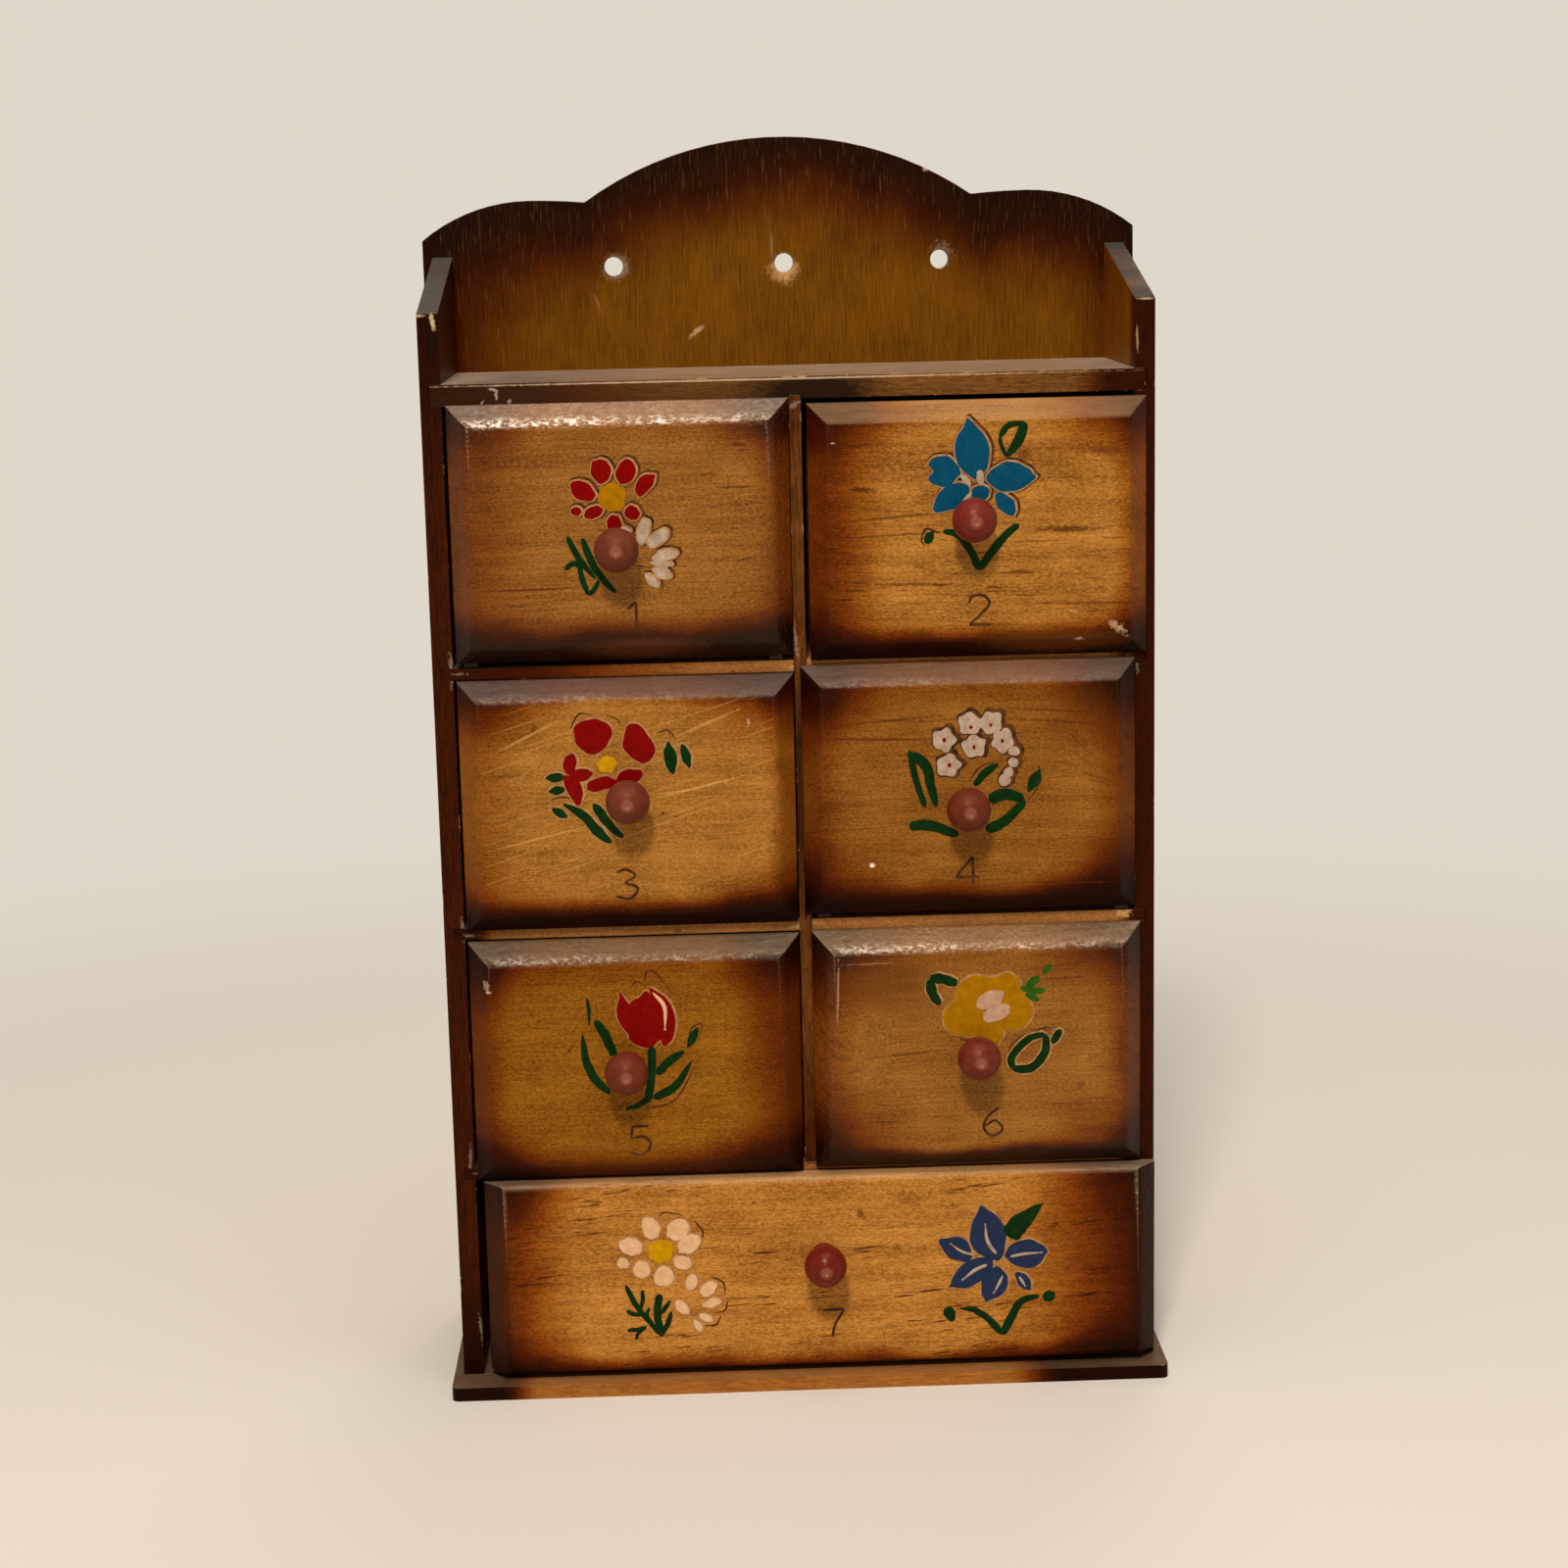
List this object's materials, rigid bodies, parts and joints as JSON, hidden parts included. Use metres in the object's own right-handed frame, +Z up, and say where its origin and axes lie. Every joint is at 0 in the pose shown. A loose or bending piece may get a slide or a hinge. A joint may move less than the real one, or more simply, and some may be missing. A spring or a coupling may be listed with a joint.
{
  "type": "sewing thread drawer cabinet",
  "caption": "Tabletop or wall-hung wooden sewing cabinet: shaped back board over an open tray top, paired small drawers above a wide drawer, bevelled fronts with turned ball knobs.",
  "frame": {"origin": "on the underside of the base board, at mid-width of the case, in the plane of the case's front edges where the drawer fronts stop", "axes": "+Z up, +Y from the drawer fronts to the back panel, +X to the right of someone facing the drawers"},
  "size_m": [0.183, 0.0772, 0.3141],
  "materials": {
    "side_wood": "softwood board, walnut-brown shaded stain under satin lacquer",
    "shelf_wood": "thin softwood board, dark stained edge, dusty top",
    "back_wood": "plywood board with upright grain, amber-brown stain shaded dark at its outline",
    "base_wood": "softwood board, brown stain, dusty top",
    "front_wood": "honey-amber stained softwood, shaded dark at the edges, satin lacquer",
    "box_wood": "bare thin softwood",
    "knob_paint": "turned wood ball, dull brick-red paint",
    "screw_brass": "tarnished brass",
    "nail_steel": "dull wire nail"
  },
  "bodies": {
    "case": {"left_side": "side_wood", "right_side": "side_wood", "top_shelf": "shelf_wood", "upper_row_shelf": "shelf_wood", "middle_row_shelf": "shelf_wood", "lower_row_shelf": "shelf_wood", "centre_divider": "shelf_wood", "back_panel": "back_wood", "base_board": "base_wood", "back_nails": "nail_steel", "base_nails": "nail_steel"},
    "upper_left_drawer": {"upper_left_drawer_front": "front_wood", "upper_left_drawer_left_wall": "box_wood", "upper_left_drawer_right_wall": "box_wood", "upper_left_drawer_back_wall": "box_wood", "upper_left_drawer_bottom": "box_wood", "upper_left_drawer_knob": "knob_paint", "upper_left_drawer_knob_screw": "screw_brass"},
    "upper_right_drawer": {"upper_right_drawer_front": "front_wood", "upper_right_drawer_left_wall": "box_wood", "upper_right_drawer_right_wall": "box_wood", "upper_right_drawer_back_wall": "box_wood", "upper_right_drawer_bottom": "box_wood", "upper_right_drawer_knob": "knob_paint", "upper_right_drawer_knob_screw": "screw_brass"},
    "middle_left_drawer": {"middle_left_drawer_front": "front_wood", "middle_left_drawer_left_wall": "box_wood", "middle_left_drawer_right_wall": "box_wood", "middle_left_drawer_back_wall": "box_wood", "middle_left_drawer_bottom": "box_wood", "middle_left_drawer_knob": "knob_paint", "middle_left_drawer_knob_screw": "screw_brass"},
    "middle_right_drawer": {"middle_right_drawer_front": "front_wood", "middle_right_drawer_left_wall": "box_wood", "middle_right_drawer_right_wall": "box_wood", "middle_right_drawer_back_wall": "box_wood", "middle_right_drawer_bottom": "box_wood", "middle_right_drawer_knob": "knob_paint", "middle_right_drawer_knob_screw": "screw_brass"},
    "lower_left_drawer": {"lower_left_drawer_front": "front_wood", "lower_left_drawer_left_wall": "box_wood", "lower_left_drawer_right_wall": "box_wood", "lower_left_drawer_back_wall": "box_wood", "lower_left_drawer_bottom": "box_wood", "lower_left_drawer_knob": "knob_paint", "lower_left_drawer_knob_screw": "screw_brass"},
    "lower_right_drawer": {"lower_right_drawer_front": "front_wood", "lower_right_drawer_left_wall": "box_wood", "lower_right_drawer_right_wall": "box_wood", "lower_right_drawer_back_wall": "box_wood", "lower_right_drawer_bottom": "box_wood", "lower_right_drawer_knob": "knob_paint", "lower_right_drawer_knob_screw": "screw_brass"},
    "wide_drawer": {"wide_drawer_front": "front_wood", "wide_drawer_left_wall": "box_wood", "wide_drawer_right_wall": "box_wood", "wide_drawer_back_wall": "box_wood", "wide_drawer_bottom": "box_wood", "wide_drawer_knob": "knob_paint", "wide_drawer_knob_screw": "screw_brass"}
  },
  "joints": [
    {"name": "upper_left_drawer_slide", "type": "slide", "parent": "case", "child": "upper_left_drawer", "axis": [0, -1, 0], "range_m": [0, 0.04]},
    {"name": "upper_right_drawer_slide", "type": "slide", "parent": "case", "child": "upper_right_drawer", "axis": [0, -1, 0], "range_m": [0, 0.04]},
    {"name": "middle_left_drawer_slide", "type": "slide", "parent": "case", "child": "middle_left_drawer", "axis": [0, -1, 0], "range_m": [0, 0.04]},
    {"name": "middle_right_drawer_slide", "type": "slide", "parent": "case", "child": "middle_right_drawer", "axis": [0, -1, 0], "range_m": [0, 0.04]},
    {"name": "lower_left_drawer_slide", "type": "slide", "parent": "case", "child": "lower_left_drawer", "axis": [0, -1, 0], "range_m": [0, 0.04]},
    {"name": "lower_right_drawer_slide", "type": "slide", "parent": "case", "child": "lower_right_drawer", "axis": [0, -1, 0], "range_m": [0, 0.04]},
    {"name": "wide_drawer_slide", "type": "slide", "parent": "case", "child": "wide_drawer", "axis": [0, -1, 0], "range_m": [0, 0.04]}
  ]
}
